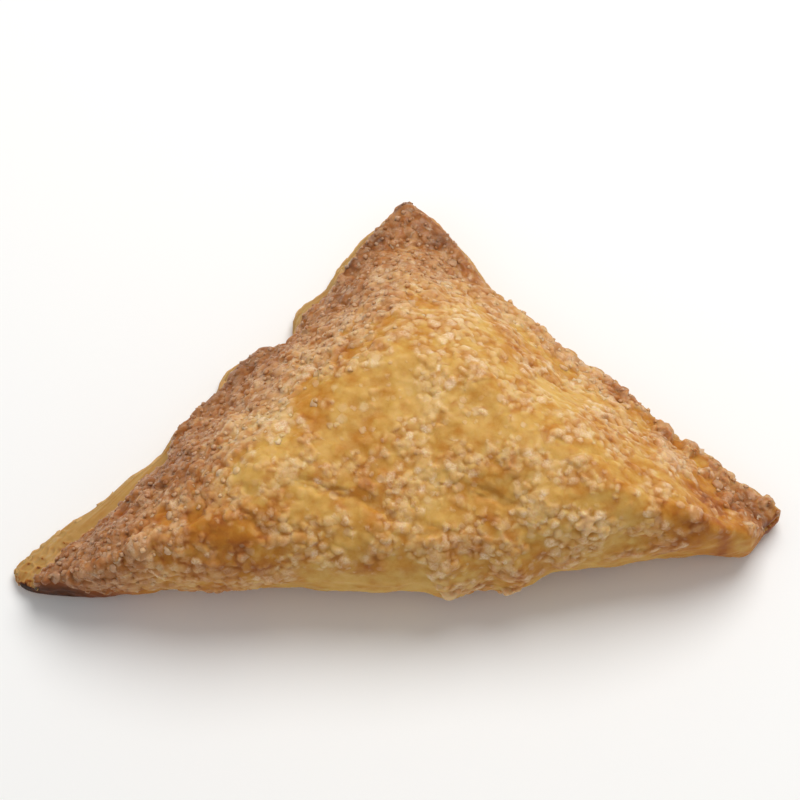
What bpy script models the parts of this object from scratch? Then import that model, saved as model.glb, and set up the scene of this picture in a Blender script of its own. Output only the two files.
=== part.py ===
"""Turnover pastry: a square of puff pastry folded corner to corner over its filling, baked shut.

One solid. +X runs along the fold, +Y from the fold to the apex, +Z up from the flat underside.
The origin is the middle of the bounding box's bottom face. Sizes below are in millimetres.
"""

import math

import bmesh
import bpy
from mathutils import Vector, noise

MM = 0.001

# Corners of the sharp triangle that the pastry's sides lie on, before the tips are cut short.
LEFT_CORNER = Vector((-91.0, -29.6))
RIGHT_CORNER = Vector((89.0, -31.4))
APEX_CORNER = Vector((5.2, 56.6))

# Each tip: where it starts and ends along its two sides, from the sharp corner, and its bulge.
LOWER_TIPS = {"left": (12.6, 15.5, 3.6), "right": (17.5, 14.8, 0.9), "apex": (2.4, 2.4, 0.9)}
UPPER_TIPS = {"left": (3.5, 3.0, 1.0), "right": (17.0, 13.0, 0.8), "apex": (2.2, 2.2, 0.8)}

# How far the lower sheet's cut edge stands out past the upper sheet's: (share of the side, mm).
# The right side runs from the right tip to the apex, the left side from the apex to the left tip.
RIGHT_SPLAY = [(0.0, 0.8), (0.50, 1.3), (0.72, 1.0), (0.84, 2.6), (0.94, 1.8), (1.0, 0.6)]
LEFT_SPLAY = [
    (0.0, 0.6), (0.08, 2.6), (0.17, 1.2), (0.24, 3.6), (0.32, 1.4), (0.37, 1.4), (0.45, 4.0),
    (0.53, 2.2), (0.62, 3.0), (0.70, 4.4), (0.85, 6.4), (1.0, 6.8),
]

NO_SPLAY = [(0.0, 0.0), (1.0, 0.0)]

# Waves of each side, outwards: (share of the side, mm, half width as a share of the side).
FOLD_WAVES = [
    (0.48, 2.6, 0.36), (0.47, 1.8, 0.17), (0.60, 2.4, 0.12), (0.565, 1.3, 0.024), (0.67, 1.7, 0.024),
    (0.17, -0.7, 0.016), (0.79, 1.2, 0.08), (0.25, 0.9, 0.07),
]
RIGHT_WAVES = [
    (0.25, -1.2, 0.12), (0.43, -1.8, 0.14), (0.62, -2.4, 0.12), (0.74, -2.0, 0.07), (0.12, -1.2, 0.022),
    (0.28, -1.4, 0.018), (0.36, -1.0, 0.014), (0.45, 1.1, 0.02), (0.57, -1.0, 0.014), (0.655, -0.8, 0.02),
    (0.90, 1.2, 0.08),
]
LEFT_WAVES = [
    (0.10, 1.2, 0.07), (0.215, -1.6, 0.030), (0.345, -4.2, 0.035), (0.28, -0.4, 0.03), (0.54, -1.8, 0.07),
    (0.67, -3.0, 0.05), (0.78, -1.6, 0.07), (0.92, 0.5, 0.06), (0.455, 1.2, 0.025),
]

# The top: a low rim, a pressed flat band behind it, and the dome.
PEAK_HEIGHT = 34.0
RIM_HEIGHT = 9.2
TIP_HEIGHT_SHARE = 0.78       # the rim thins towards the two long tips
CRIMP_WIDTH = 4.5
DOME_RUN = 29.0               # from the crimp to the top of the dome
DOME_FLARE = 1.25             # how slowly the dome starts to rise
CORNER_SOFTNESS = 6.0         # how far the two cut sides' slopes melt together
TIPS_FROM = 45.0              # how far from the middle the long tips start to thin
TIPS_TO = 80.0

# The fold: a high, round side, whose shoulder runs up into the dome.
FOLD_SHOULDER_SHARE = 0.50    # height of the shoulder, as a share of the dome
FOLD_SHOULDER_FROM = -6.0     # where the shoulder starts, and how far it runs inwards
FOLD_SHOULDER_RUN = 27.0
FOLD_ROLL_SHARE = 0.40        # how far the side rolls in, as a share of its height
FOLD_HEIGHT_INSET = 6.0       # how far in that height is taken
TIP_ROLL_LOSS = 0.75          # how much of the roll is gone at the two long tips

# Lumps of the puffed sheet: (x, y, radius, height), and finer unevenness from noise.
LUMPS = [
    (12.0, 2.0, 16.0, 1.4), (-28.0, -14.0, 13.0, 1.2), (38.0, -16.0, 14.0, 1.3), (2.0, 24.0, 10.0, 0.8),
    (33.0, 3.0, 7.0, -1.3), (-12.0, -33.0, 9.0, -1.4), (22.0, -36.0, 8.0, 1.2), (-44.0, -24.0, 8.0, -1.2),
    (52.0, -30.0, 9.0, 1.0), (-4.0, -18.0, 9.0, -0.8),
]
COARSE_NOISE = (0.055, 1.5)   # waves per mm, height in mm
FINE_NOISE = (0.14, 0.6)
NOISE_LAYER = 7.0             # picks the pattern
RIM_NOISE_SHARE = 0.25        # what is left of the noise on the pressed rim

RIGHT_TIP_LIFT = 1.6
RIGHT_TIP_LIFT_FROM = 46.0

# Cut edge from the underside to the top, at rim height: (share of the way from the lower
# sheet's outline to the upper one's, mm further in, share of the edge's height).
CUT_PROFILE = [
    (0.00, 1.2, 0.00), (0.00, 0.1, 0.09), (0.02, 0.0, 0.20), (0.20, 0.0, 0.33), (0.48, 0.1, 0.45),
    (0.80, 0.9, 0.53), (0.80, 0.1, 0.62), (0.95, 0.0, 0.76), (1.00, 0.3, 0.90), (1.00, 1.3, 1.00),
]
BRIM_INSET = CUT_PROFILE[-1][1]
# The top's rings, as shares of the way from its edge to its middle, closer near the edge.
TOP_RINGS = [0.05, 0.11, 0.18, 0.25, 0.33, 0.41, 0.50, 0.59, 0.68, 0.77, 0.86, 0.94]
UNDERSIDE_RINGS = [0.45, 0.15]

FOLD_STEPS, CUT_STEPS, TIP_STEPS = 60, 44, 8


def clamped(share):
    return min(1.0, max(0.0, share))


def smooth(share):
    share = clamped(share)
    return share * share * (3 - 2 * share)


def along(table, share):
    """The value of a (share, value) table, easing from one entry to the next."""
    for (start, low), (end, high) in zip(table, table[1:]):
        if share <= end:
            return low + (high - low) * smooth((share - start) / (end - start))
    return table[-1][1]


def waves(table, share):
    """Sum of the bell-shaped waves, which fade out at both ends of the side."""
    total = sum(height * math.exp(-((share - place) / width) ** 2) for place, height, width in table)
    return total * smooth(share / 0.05) * smooth((1 - share) / 0.05)


def line_distance(point, start, end):
    """How far a point lies to the left of the line, which is inside for these sides."""
    run = (end - start).normalized()
    return run.x * (point.y - start.y) - run.y * (point.x - start.x)


def incentre():
    """The middle of the circle that touches all three sides, and its radius."""
    corners = [LEFT_CORNER, RIGHT_CORNER, APEX_CORNER]
    facing = [(corners[i - 1] - corners[i - 2]).length for i in range(3)]
    middle = sum((corner * side for corner, side in zip(corners, facing)), Vector((0, 0))) / sum(facing)
    return middle, line_distance(middle, LEFT_CORNER, RIGHT_CORNER)


MIDDLE, INRADIUS = incentre()


def tip_points(before, corner, after, tip):
    """The blunt tip at a corner: a bulging cut from a point on the first side to one on the second."""
    first_cut, second_cut, bulge = tip
    first = corner + (before - corner).normalized() * first_cut
    last = corner + (after - corner).normalized() * second_cut
    out = Vector((last.y - first.y, first.x - last.x)).normalized()
    points = []
    for step in range(TIP_STEPS + 1):
        share = step / TIP_STEPS
        points.append(first.lerp(last, share) + out * (bulge * math.sin(math.pi * share) ** 0.8))
    return points


def side_points(first, last, table, splay, steps):
    """Points along one side, between two tips, with its waves and what its splay adds between them."""
    run = (last - first).normalized()
    out = Vector((run.y, -run.x))
    points = []
    for step in range(1, steps):
        share = step / steps
        even = splay[0][1] + (splay[-1][1] - splay[0][1]) * share
        inset = along(splay, share) - even
        points.append(first.lerp(last, share) + out * (waves(table, share) - inset))
    return points


def inset_corner(before, corner, after, inset_before, inset_after):
    """The corner between two sides that are moved in by these widths."""
    back = (before - corner).normalized()
    ahead = (after - corner).normalized()
    turn = math.sin(back.angle(ahead))
    return corner + back * (inset_after / turn) + ahead * (inset_before / turn)


def sheet_outline(tips, fold_splay, right_splay, left_splay):
    """One sheet's outline, anticlockwise from the left tip along the fold, as (point, fold share)."""
    left = inset_corner(APEX_CORNER, LEFT_CORNER, RIGHT_CORNER, left_splay[-1][1], fold_splay[0][1])
    right = inset_corner(LEFT_CORNER, RIGHT_CORNER, APEX_CORNER, fold_splay[-1][1], right_splay[0][1])
    apex = inset_corner(RIGHT_CORNER, APEX_CORNER, LEFT_CORNER, right_splay[-1][1], left_splay[0][1])
    left_tip = tip_points(apex, left, right, tips["left"])
    right_tip = tip_points(left, right, apex, tips["right"])
    apex_tip = tip_points(right, apex, left, tips["apex"])
    fold = side_points(left_tip[-1], right_tip[0], FOLD_WAVES, fold_splay, FOLD_STEPS)
    right_side = side_points(right_tip[-1], apex_tip[0], RIGHT_WAVES, right_splay, CUT_STEPS)
    left_side = side_points(apex_tip[-1], left_tip[0], LEFT_WAVES, left_splay, CUT_STEPS)
    rising = [smooth(step / TIP_STEPS) for step in range(TIP_STEPS + 1)]
    return (
        list(zip(left_tip, rising))
        + [(point, 1.0) for point in fold]
        + list(zip(right_tip, reversed(rising)))
        + [(point, 0.0) for point in right_side + apex_tip + left_side]
    )


def tip_share(point):
    """0 over the middle, easing to 1 at the two long tips."""
    return smooth((abs(point.x - MIDDLE.x) - TIPS_FROM) / (TIPS_TO - TIPS_FROM))


def top_height(point):
    """Height of the top over a point, in mm: a low rim, a dome behind it, and a full, round fold."""
    left = line_distance(point, APEX_CORNER, LEFT_CORNER)
    right = line_distance(point, RIGHT_CORNER, APEX_CORNER)
    fold = line_distance(point, LEFT_CORNER, RIGHT_CORNER)
    near = -CORNER_SOFTNESS * math.log(math.exp(-left / CORNER_SOFTNESS) + math.exp(-right / CORNER_SOFTNESS))
    rise = math.sin(0.5 * math.pi * clamped((near - CRIMP_WIDTH) / DOME_RUN)) ** DOME_FLARE
    shoulder = 1 - (1 - clamped((fold - FOLD_SHOULDER_FROM) / FOLD_SHOULDER_RUN)) ** 2
    dome = rise * (FOLD_SHOULDER_SHARE + (1 - FOLD_SHOULDER_SHARE) * shoulder)
    rim = RIM_HEIGHT * (1 - (1 - TIP_HEIGHT_SHARE) * tip_share(point))
    height = rim + (PEAK_HEIGHT - RIM_HEIGHT) * dome
    for x, y, radius, lump in LUMPS:
        height += lump * math.exp(-((point - Vector((x, y))).length / radius) ** 2)
    uneven = max(RIM_NOISE_SHARE, clamped(2 * dome))
    for pitch, depth in (COARSE_NOISE, FINE_NOISE):
        height += depth * uneven * noise.noise(Vector((point.x * pitch, point.y * pitch, NOISE_LAYER)))
    return height


def move_in(point, inset):
    """A point moved towards the middle, so that its side lies in by the inset."""
    return point.lerp(MIDDLE, inset / INRADIUS)


def edge_column(lower, upper, fold_share):
    """The edge from the underside to the top at one place round the outline, as (x, y, z)."""
    side_height = top_height(move_in(upper, FOLD_HEIGHT_INSET))
    roll = FOLD_ROLL_SHARE * side_height * (1 - TIP_ROLL_LOSS * tip_share(upper))
    top_inset = BRIM_INSET + (roll - BRIM_INSET) * fold_share
    top = top_height(move_in(upper, top_inset))
    column = []
    for step, (share, inset, height) in enumerate(CUT_PROFILE):
        angle = math.pi * (step / (len(CUT_PROFILE) - 1) - 0.5)
        rolled_inset = roll * (1 - math.cos(angle))
        rolled_height = 0.5 * (1 + math.sin(angle))
        inset += (rolled_inset - inset) * fold_share
        height += (rolled_height - height) * fold_share
        place = move_in(lower.lerp(upper, share), inset)
        column.append(Vector((place.x, place.y, top * height)))
    return column


def lifted(place):
    """The right tip curls up a little off the tray."""
    bend = max(0.0, place.x - RIGHT_TIP_LIFT_FROM) / (RIGHT_CORNER.x - RIGHT_TIP_LIFT_FROM)
    return Vector((place.x, place.y, place.z + RIGHT_TIP_LIFT * bend ** 2))


def pastry_rings():
    """Closed rings of points, from the underside's inmost one, round the edge, to the top's."""
    lower = sheet_outline(LOWER_TIPS, NO_SPLAY, NO_SPLAY, NO_SPLAY)
    upper = sheet_outline(UPPER_TIPS, NO_SPLAY, RIGHT_SPLAY, LEFT_SPLAY)
    columns = []
    for (low, fold_share), (high, _) in zip(lower, upper):
        edge = edge_column(low, high, fold_share)
        foot, brim = edge[0].xy, edge[-1].xy
        under = [MIDDLE.lerp(foot, share).to_3d() for share in reversed(UNDERSIDE_RINGS)]
        over = []
        for share in TOP_RINGS:
            place = brim.lerp(MIDDLE, share)
            over.append(Vector((place.x, place.y, top_height(place))))
        columns.append(under + [lifted(place) for place in edge + over])
    return [list(ring) for ring in zip(*columns)]


def build_pastry():
    rings = pastry_rings()
    count = len(rings[0])
    shape = bmesh.new()
    loops = [[shape.verts.new(place * MM) for place in ring] for ring in rings]
    for below, above in zip(loops, loops[1:]):
        for i in range(count):
            j = (i + 1) % count
            shape.faces.new((below[i], below[j], above[j], above[i]))
    under = shape.verts.new(Vector((MIDDLE.x, MIDDLE.y, 0)) * MM)
    over = shape.verts.new(Vector((MIDDLE.x, MIDDLE.y, top_height(MIDDLE))) * MM)
    for i in range(count):
        j = (i + 1) % count
        shape.faces.new((loops[0][j], loops[0][i], under))
        shape.faces.new((loops[-1][i], loops[-1][j], over))
    bmesh.ops.triangulate(shape, faces=shape.faces[:])
    centre_on_origin(shape)
    mesh = bpy.data.meshes.new("turnover")
    shape.to_mesh(mesh)
    shape.free()
    mesh.shade_smooth()
    return mesh


def centre_on_origin(shape):
    """Puts the middle of the bounding box's bottom face on the origin."""
    low = [min(vert.co[axis] for vert in shape.verts) for axis in range(3)]
    high = [max(vert.co[axis] for vert in shape.verts) for axis in range(3)]
    offset = Vector(((low[0] + high[0]) / 2, (low[1] + high[1]) / 2, low[2]))
    bmesh.ops.translate(shape, verts=shape.verts[:], vec=-offset)


def baked_pastry():
    material = bpy.data.materials.new("baked_pastry")
    material.use_nodes = True
    surface = material.node_tree.nodes["Principled BSDF"]
    surface.inputs["Base Color"].default_value = (0.62, 0.36, 0.12, 1)
    surface.inputs["Roughness"].default_value = 0.5
    surface.inputs["Metallic"].default_value = 0.0
    return material


def main():
    for obj in list(bpy.data.objects):
        bpy.data.objects.remove(obj)
    turnover = bpy.data.objects.new("turnover", build_pastry())
    turnover.data.materials.append(baked_pastry())
    bpy.context.scene.collection.objects.link(turnover)


main()
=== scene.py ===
import math
import bpy
import numpy as np
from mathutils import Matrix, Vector, noise
from mathutils.bvhtree import BVHTree
from mathutils.kdtree import KDTree


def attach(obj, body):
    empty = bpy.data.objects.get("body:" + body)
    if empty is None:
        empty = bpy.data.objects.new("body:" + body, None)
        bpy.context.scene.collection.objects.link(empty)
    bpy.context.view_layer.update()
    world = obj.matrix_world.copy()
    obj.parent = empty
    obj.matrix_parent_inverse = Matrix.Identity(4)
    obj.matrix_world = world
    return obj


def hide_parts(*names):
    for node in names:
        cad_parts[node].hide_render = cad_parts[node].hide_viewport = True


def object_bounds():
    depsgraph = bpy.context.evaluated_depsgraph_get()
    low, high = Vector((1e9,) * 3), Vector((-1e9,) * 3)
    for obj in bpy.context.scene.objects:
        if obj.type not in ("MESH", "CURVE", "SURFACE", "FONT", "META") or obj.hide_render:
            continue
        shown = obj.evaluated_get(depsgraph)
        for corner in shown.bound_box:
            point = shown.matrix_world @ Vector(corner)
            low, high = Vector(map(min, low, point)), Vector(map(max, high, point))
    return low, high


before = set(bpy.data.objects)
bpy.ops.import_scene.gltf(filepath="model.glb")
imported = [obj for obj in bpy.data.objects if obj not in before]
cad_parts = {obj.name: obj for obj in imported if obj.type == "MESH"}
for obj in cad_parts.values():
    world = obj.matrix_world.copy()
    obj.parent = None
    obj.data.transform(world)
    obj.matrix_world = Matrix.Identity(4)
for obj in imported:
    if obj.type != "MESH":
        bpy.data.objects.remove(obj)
cadLow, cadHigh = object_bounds()
mm = 0.001                      # lengths and places below are in mm, in the frame's own axes


# small helpers

def srgb(red, green, blue):
    def linear(value):
        value = value / 255
        return value / 12.92 if value <= 0.04045 else ((value + 0.055) / 1.055) ** 2.4
    return (linear(red), linear(green), linear(blue), 1.0)


def pickOnly(obj):
    bpy.ops.object.select_all(action="DESELECT")
    obj.select_set(True)
    bpy.context.view_layer.objects.active = obj


def addAndApply(obj, kind, **settings):
    pickOnly(obj)
    modifier = obj.modifiers.new(kind.lower(), kind)
    for key, value in settings.items():
        setattr(modifier, key, value)
    bpy.ops.object.modifier_apply(modifier=modifier.name)


def ease(values, low, high):
    share = np.clip((values - low) / (high - low), 0.0, 1.0)
    return share * share * (3 - 2 * share)


def falling(distance, width):
    # 1 at no distance, dying away softly over the width
    return np.exp(-(distance / width) ** 2)


def readPoints(mesh):
    points = np.empty(len(mesh.vertices) * 3)
    mesh.vertices.foreach_get("co", points)
    return points.reshape(-1, 3) / mm


def readNormals(mesh):
    normals = np.empty(len(mesh.vertices) * 3)
    mesh.vertices.foreach_get("normal", normals)
    return normals.reshape(-1, 3)


def writePoints(mesh, points):
    mesh.vertices.foreach_set("co", (points * mm).ravel())
    mesh.update()


def writeAttribute(mesh, name, values):
    attribute = mesh.attributes.new(name, "FLOAT", "POINT")
    attribute.data.foreach_set("value", np.asarray(values, dtype=np.float32))


def newPiece(name, points, faces):
    mesh = bpy.data.meshes.new(name)
    mesh.from_pydata((points * mm).tolist(), [], faces)
    piece = bpy.data.objects.new(name, mesh)
    bpy.context.scene.collection.objects.link(piece)
    return piece


def turnFacesOut():
    # every face of the picked object
    bpy.ops.object.mode_set(mode="EDIT")
    bpy.ops.mesh.select_all(action="SELECT")
    bpy.ops.mesh.normals_make_consistent(inside=False)
    bpy.ops.object.mode_set(mode="OBJECT")


def noiseField(points, size, layer):
    # smooth noise from about -1 to 1, whose waves are about `size` mm across
    return np.array([noise.noise(point) for point in (points / size + layer).tolist()]) * 1.6


def nearSpots(points, spots):
    # sum of round soft spots, each (x, y, radius, strength)
    total = np.zeros(len(points))
    for x, y, radius, strength in spots:
        total += strength * falling(np.hypot(points[:, 0] - x, points[:, 1] - y), radius)
    return total


# where things are on the pastry, read from the frame

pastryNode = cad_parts["turnover"]
nodePoints = readPoints(pastryNode.data)
leftTip = nodePoints[nodePoints[:, 0].argmin()]
rightTip = nodePoints[nodePoints[:, 0].argmax()]
apex = nodePoints[nodePoints[:, 1].argmax()]
rimHeight = 9.0                 # top of the two sealed sheets
placeLook = {
    "fold": (0.15, 0.55),       # from which lean towards the front a face belongs to the fold
    "cutTop": (2.2, 0.6),       # how far below the rim's top the cut side ends
    "cutReach": (8.0, 11.0),    # how far in from the edge it can reach
    "under": (-0.85, -0.5),     # which faces point down enough to be the underside
}


def insideOf(points, start, end):
    # how far in from the line start-end, in mm
    run = (end - start)[:2]
    run = run / np.hypot(*run)
    return run[0] * (points[:, 1] - start[1]) - run[1] * (points[:, 0] - start[0])


def outwardOf(start, end):
    run = (end - start)[:2]
    run = run / np.hypot(*run)
    return np.array([run[1], -run[0], 0.0])


def gapTo(points, tip):
    return np.hypot(points[:, 0] - tip[0], points[:, 1] - tip[1])


outLeft = outwardOf(apex, leftTip)
outRight = outwardOf(rightTip, apex)


def places(points, normals):
    # distances and masks from 0 to 1 that the bake, the sugar and the layers all go by
    left = insideOf(points, apex, leftTip)
    right = insideOf(points, rightTip, apex)
    height = points[:, 2]
    onFold = ease(-normals[:, 1], *placeLook["fold"])
    lowSide = 1 - ease(height, rimHeight - placeLook["cutTop"][0], rimHeight - placeLook["cutTop"][1])
    notUnder = ease(normals[:, 2], *placeLook["under"])
    nearCut = 1 - ease(np.minimum(left, right), *placeLook["cutReach"])
    return {
        "left": left,
        "right": right,
        "rim": np.minimum(left, right),
        "height": height,
        "fold": onFold,
        "cut": lowSide * nearCut * notUnder * (1 - onFold),
        "under": 1 - notUnder,
        "up": normals[:, 2],
        "toLeftTip": gapTo(points, leftTip),
        "toRightTip": gapTo(points, rightTip),
        "toApex": gapTo(points, apex),
    }


# how far each place is baked, from 0 (raw) to 1 (burnt)

bakeLook = {
    "top": 0.33,
    "leftFlank": 0.24, "leftFlankWidth": (4.0, 34.0),
    "rim": 0.14, "rimWidth": 7.0,
    "leftRim": 0.16, "leftRimWidth": 11.0, "leftRimFromApex": (15.0, 50.0),
    "apex": 0.07, "apexWidth": 20.0,
    "leftTip": 0.12, "rightTip": 0.13, "tipWidth": 16.0,
    "leftFoot": 0.60, "leftFootLength": (12.0, 34.0), "leftFootHeight": (6.0, 12.5),
    "cutEdge": 0.27, "cutMottle": 0.06, "cutApex": 0.12, "cutBottom": 0.10,
    "underside": 0.52, "undersideMottle": 0.05,
    "mottle": [(11.0, 0.06, 3.0), (4.2, 0.06, 5.0), (1.8, 0.04, 7.0)],       # size, strength, noise layer
    # browned and golden spots: x, y, radius, strength
    "spots": [
        (-8.0, 21.5, 4.0, 0.22), (-7.0, 32.5, 2.2, 0.50), (0.0, 37.0, 2.0, 0.50),
        (5.5, 46.5, 2.4, 0.70), (13.0, 36.0, 2.2, 0.45), (79.8, -35.0, 2.0, 0.40),
        (63.0, -30.5, 1.7, 0.36), (60.5, -28.0, 1.3, 0.30), (65.5, -32.0, 1.4, 0.34),
        (68.5, -30.5, 1.6, 0.30), (71.5, -28.5, 1.8, 0.36), (73.0, -31.5, 1.8, 0.40),
        (76.0, -33.5, 2.0, 0.44), (64.0, -19.5, 1.8, -0.12), (48.0, -3.0, 2.5, 0.2),
        (57.0, -13.0, 2.2, 0.2), (19.5, 31.0, 6.0, 0.10), (44.0, -1.0, 8.0, 0.04),
        (52.0, -10.0, 7.0, 0.04), (66.0, -29.0, 6.0, 0.06), (79.0, -33.0, 4.0, 0.24),
        (-56.5, -25.5, 5.0, 0.14), (-43.5, -18.5, 6.0, 0.20), (-30.0, 9.0, 6.0, 0.12),
        (-48.0, -18.0, 5.0, 0.14), (-60.0, -33.5, 7.0, 0.18), (-70.0, -37.0, 5.0, 0.10),
        (-15.4, -16.8, 7.0, 0.08), (26.0, -2.0, 9.0, 0.06), (15.3, -12.9, 8.0, -0.05),
        (44.0, -35.2, 8.0, -0.03), (64.0, -18.5, 3.0, 0.12), (8.0, -7.0, 27.0, -0.05),
        (-13.0, -17.0, 12.0, -0.04), (34.0, -10.0, 7.0, -0.06), (-28.0, -20.0, 8.0, -0.10),
        (38.0, -29.0, 8.0, -0.06), (66.0, -40.5, 1.4, 0.35), (-38.0, -41.0, 13.0, 0.12),
        (60.0, -42.0, 12.0, 0.08), (-6.0, -46.0, 14.0, -0.01),
    ],
}


def bakeAt(points, normals):
    look = bakeLook
    place = places(points, normals)
    bake = look["top"] + nearSpots(points, look["spots"])
    bake += look["leftFlank"] * (1 - ease(place["left"], *look["leftFlankWidth"]))
    bake += look["rim"] * falling(place["rim"], look["rimWidth"])
    leftRim = falling(place["left"], look["leftRimWidth"]) * ease(place["toApex"], *look["leftRimFromApex"])
    bake += look["leftRim"] * leftRim
    bake += look["apex"] * falling(place["toApex"], look["apexWidth"])
    bake += look["leftTip"] * falling(place["toLeftTip"], look["tipWidth"])
    bake += look["rightTip"] * falling(place["toRightTip"], look["tipWidth"])
    leftFoot = 1 - ease(place["toLeftTip"], *look["leftFootLength"])
    leftFoot *= 1 - ease(place["height"], *look["leftFootHeight"])
    bake += look["leftFoot"] * place["fold"] * leftFoot
    for size, strength, layer in look["mottle"]:
        bake += strength * noiseField(points, size, layer)
    bake = np.where(bake > 0.5, 0.5 + 0.5 * (bake - 0.5), bake)      # dark places darken more slowly
    cutBake = look["cutEdge"] + look["cutMottle"] * noiseField(points, 6.0, 8.0)
    cutBake += look["cutApex"] * falling(place["toApex"], 9.0)
    cutBake += look["cutBottom"] * (1 - ease(place["height"], 0.4, 1.6))
    bake += (cutBake - bake) * place["cut"]
    underBake = look["underside"] + look["undersideMottle"] * noiseField(points, 9.0, 2.0)
    bake += (underBake - bake) * place["under"]
    return np.clip(bake, 0.02, 1.0)


# where the sugar lies, from 0 (bare) to 1 (covered)

sugarLook = {
    "top": 0.50,
    "leftFlank": 0.26, "leftFlankWidth": (8.0, 34.0),
    "rim": 0.16, "rimWidth": 9.0,
    "apex": 0.14, "apexWidth": 24.0,
    "patches": [(5.5, 0.26, 11.0), (2.2, 0.12, 12.0)],                       # size, strength, noise layer
    "edge": (0.38, 0.64),
    "thinGlaze": 0.35,          # how much of the lumps also stand in the glaze between the patches
    # up to what height the fold is bare, along x
    "bareFoot": [
        (-80, 11), (-70, 11), (-60, 9), (-50, 6), (-38, 4), (-26, 14), (-18, 21), (4, 21), (9, 12),
        (13, 8), (21, 9), (27, 15), (45, 15), (55, 15), (64, 20), (70, 17), (76, 8),
    ],
    # bare and thick spots: x, y, radius, strength
    "spots": [
        (-13.0, -15.0, 7.0, -0.22), (-28.0, -21.0, 5.0, -0.22), (34.0, -9.0, 5.0, -0.2),
        (-3.0, -9.0, 6.0, -0.2), (-57.0, -25.0, 3.0, -0.45), (6.0, 26.0, 10.0, 0.15),
        (-34.0, -12.0, 9.0, 0.2), (19.0, 30.0, 4.0, -0.2), (53.0, -9.0, 3.5, -0.25),
        (64.0, -19.5, 2.0, -0.8), (56.5, -22.0, 3.2, 0.6), (42.5, -12.5, 3.0, 0.5),
        (38.0, -39.0, 2.8, 0.5), (-47.0, -20.0, 4.0, 0.4), (-33.0, -11.5, 4.0, 0.4),
    ],
}


def sugarAt(points, normals):
    look = sugarLook
    place = places(points, normals)
    sugar = look["top"] + nearSpots(points, look["spots"])
    sugar += look["leftFlank"] * (1 - ease(place["left"], *look["leftFlankWidth"]))
    sugar += look["rim"] * falling(place["rim"], look["rimWidth"])
    sugar += look["apex"] * falling(place["toApex"], look["apexWidth"])
    for size, strength, layer in look["patches"]:
        sugar += strength * noiseField(points, size, layer)
    return ease(sugar, *look["edge"]) * openTo(points, place)


def openTo(points, place):
    # 1 wherever sugar can lie at all, 0 under the pastry, on its cut sides and at the foot of the fold
    along, foot = zip(*sugarLook["bareFoot"])
    above = points[:, 2] - np.interp(points[:, 0], along, foot) + 1.5 * noiseField(points, 4.0, 13.0)
    clear = 1 - place["fold"] * (1 - ease(above, -1.5, 2.5))
    return clear * (1 - place["cut"]) * (1 - place["under"])


def glazeAt(points, normals):
    # the thin melted glaze between the sugared patches, and the sugar itself
    thin = sugarLook["thinGlaze"]
    return thin * openTo(points, places(points, normals)) + (1 - thin) * sugarAt(points, normals)


# the crust: the pastry's own form, made fine enough for blisters, creases and melted sugar

crustLook = {
    "voxel": 0.34,
    "undersideTop": 0.12, "undersideShare": 0.06,       # the flat underside keeps this share of its faces
    "triangles": 190000,                 # what the crust is thinned to once the sugar is on it
    # blisters: size, height, noise layer
    "puffs": [(15.0, 0.55, 1.0), (6.5, 0.38, 4.0), (2.8, 0.15, 6.0), (1.2, 0.05, 9.0)],
    "wrinkleSize": (6.0, 3.2, 5.0), "wrinkleDepth": 0.10,
    # creases: start, end, half width, depth
    "creases": [
        ((-22.0, -27.0), (-9.0, -31.0), 1.0, 0.9), ((-9.0, -31.0), (-1.0, -36.5), 1.0, 0.8),
        ((26.0, 0.5), (37.0, -4.5), 1.1, 0.9), ((-2.0, -36.0), (9.0, -39.0), 1.3, 0.8),
        ((14.0, -31.0), (24.0, -35.0), 1.0, 0.7), ((-33.0, -33.0), (-24.0, -39.0), 1.2, 0.8),
        ((30.0, -22.0), (44.0, -26.0), 1.0, 0.5), ((-18.0, 4.0), (-12.0, -7.0), 1.0, 0.5),
    ],
    # places pushed sideways: x, y, radius, push along x, push along y
    "pushes": [
        (-77.0, -40.0, 8.0, 0.9, 1.8), (-81.0, -30.0, 4.0, -0.9, 0.5), (-64.0, -42.0, 12.0, 0.0, 0.8),
        (80.0, -37.0, 7.0, -1.9, 1.5), (72.0, -42.0, 7.0, 0.0, 0.7), (0.0, 40.0, 5.0, -0.9, 0.6),
        (-14.0, 25.0, 6.0, -0.6, 0.4), (-21.0, 19.0, 4.0, 0.9, -0.9), (-60.0, -15.0, 14.0, 0.3, -0.3),
    ],
    # how far the upper sheet's rim draws back along the left ledge, by x
    "stepBack": [(-60, 1.4), (-48, 1.4), (-42, 0.2), (-28, 0.2), (-22, 1.3), (-8, 1.1), (-1, 0.0)],
    "layerLine": (10.0, 0.70, 0.16),     # length, spacing and depth of the fine lines on the cut sides
    "cellSize": 2.3, "cellDepth": 0.38, "cellReach": 17.0,
}


def newCrust():
    skin = bpy.data.objects.new("baked_crust", pastryNode.data.copy())
    bpy.context.scene.collection.objects.link(skin)
    skin.data.materials.clear()
    pickOnly(skin)
    bpy.ops.object.mode_set(mode="EDIT")
    bpy.ops.mesh.select_all(action="SELECT")
    bpy.ops.mesh.remove_doubles(threshold=0.000001)
    bpy.ops.mesh.normals_make_consistent(inside=False)
    bpy.ops.object.mode_set(mode="OBJECT")
    addAndApply(skin, "REMESH", mode="VOXEL", voxel_size=crustLook["voxel"] * mm)
    addAndApply(skin, "SMOOTH", factor=0.5, iterations=6)
    points = readPoints(skin.data)
    low = points[:, 2] < crustLook["undersideTop"]
    skin.data.vertices.foreach_set("select", low)
    facesLow = [all(low[i] for i in face.vertices) for face in skin.data.polygons]
    skin.data.polygons.foreach_set("select", facesLow)
    pickOnly(skin)
    bpy.ops.object.mode_set(mode="EDIT")
    bpy.ops.mesh.select_mode(type="FACE")
    bpy.ops.mesh.decimate(ratio=crustLook["undersideShare"])
    bpy.ops.object.mode_set(mode="OBJECT")
    return skin


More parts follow.
